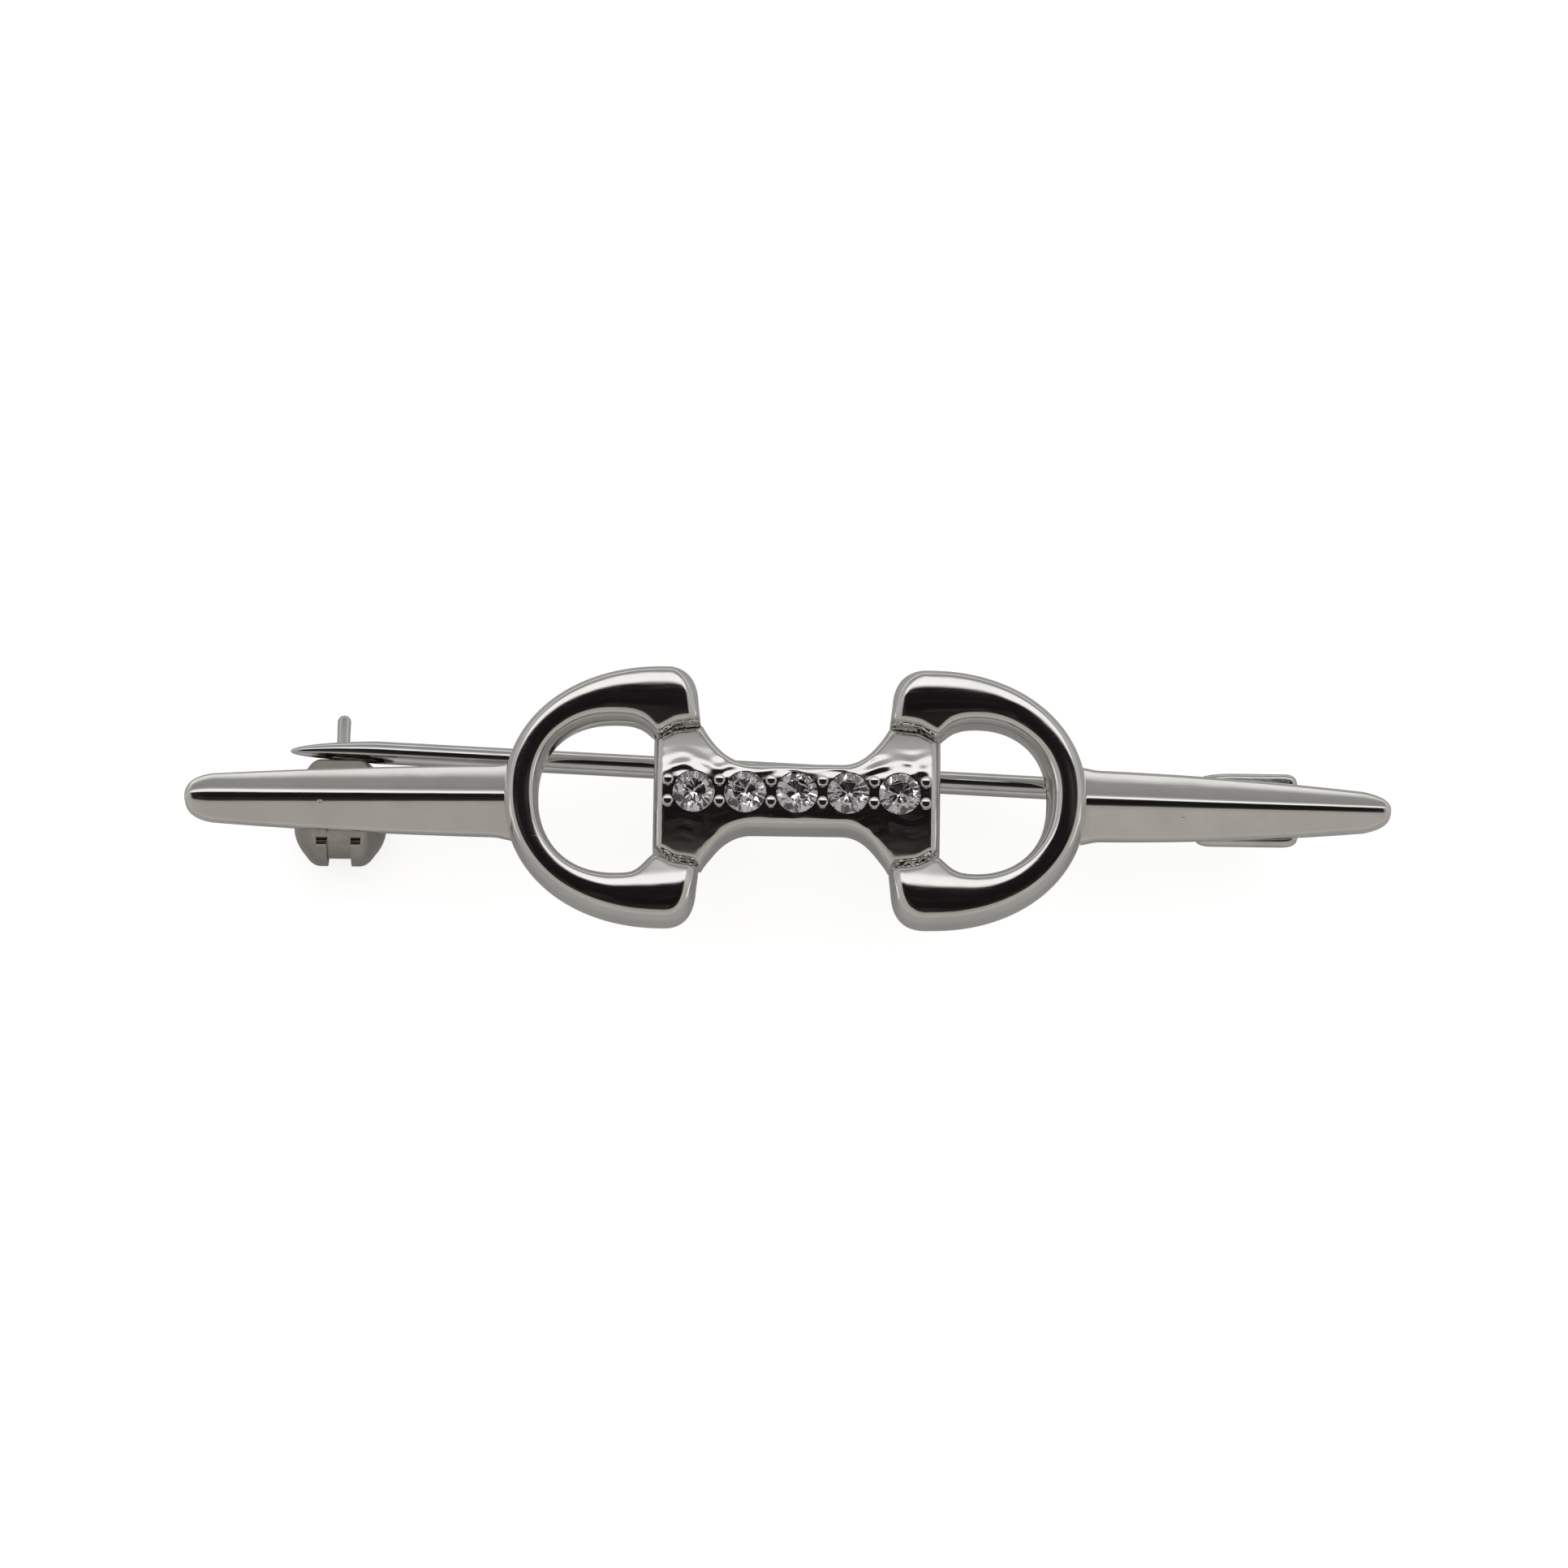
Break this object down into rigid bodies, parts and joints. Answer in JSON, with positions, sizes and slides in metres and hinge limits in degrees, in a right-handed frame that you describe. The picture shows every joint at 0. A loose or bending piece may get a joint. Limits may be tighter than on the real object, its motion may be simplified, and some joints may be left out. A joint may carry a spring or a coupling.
{
  "type": "stock pin",
  "caption": "Bar brooch shaped as a snaffle bit, with ridged bars, D-rings, a stone-set mouthpiece, a swinging pin stem and a roll-over safety catch.",
  "frame": {"origin": "middle of the bounding box's bottom, on the surface that the pin lies on, back down", "axes": "+X along the bars from the catch end to the hinge end, +Y across them on the side of the thumb lever, +Z out of the decorated front"},
  "size_m": [0.065, 0.0144, 0.0085],
  "materials": {
    "silver": "polished white plating over silver",
    "findings": "tumbled bright white metal",
    "pin": "drawn and polished wire",
    "stones": "faceted clear brilliants"
  },
  "bodies": {
    "brooch": {"left_bar": "silver", "right_bar": "silver", "left_d_ring": "silver", "right_d_ring": "silver", "mouthpiece": "silver", "stone_1": "stones", "stone_2": "stones", "stone_3": "stones", "stone_4": "stones", "stone_5": "stones", "claw_1": "silver", "claw_2": "silver", "claw_3": "silver", "claw_4": "silver", "claw_5": "silver", "claw_6": "silver", "claw_7": "silver", "claw_8": "silver", "claw_9": "silver", "claw_10": "silver", "claw_11": "silver", "claw_12": "silver", "catch_body": "findings", "hinge_pad": "findings", "hinge_rivet": "findings", "hinge_washer": "findings"},
    "roller": {"catch_roller": "findings", "thumb_lever": "findings"},
    "pin": {"pin_stem": "pin"}
  },
  "joints": [
    {"name": "pin_swing", "type": "hinge", "parent": "brooch", "child": "pin", "pos_m": [0.02473, 0.00128, 0.00315], "axis": [0, 0, -1], "range_deg": [-3.85, 75]},
    {"name": "catch_roll", "type": "hinge", "parent": "brooch", "child": "roller", "pos_m": [-0.02422, 0, 0.00255], "axis": [-1, 0, 0], "range_deg": [0, 190]}
  ]
}
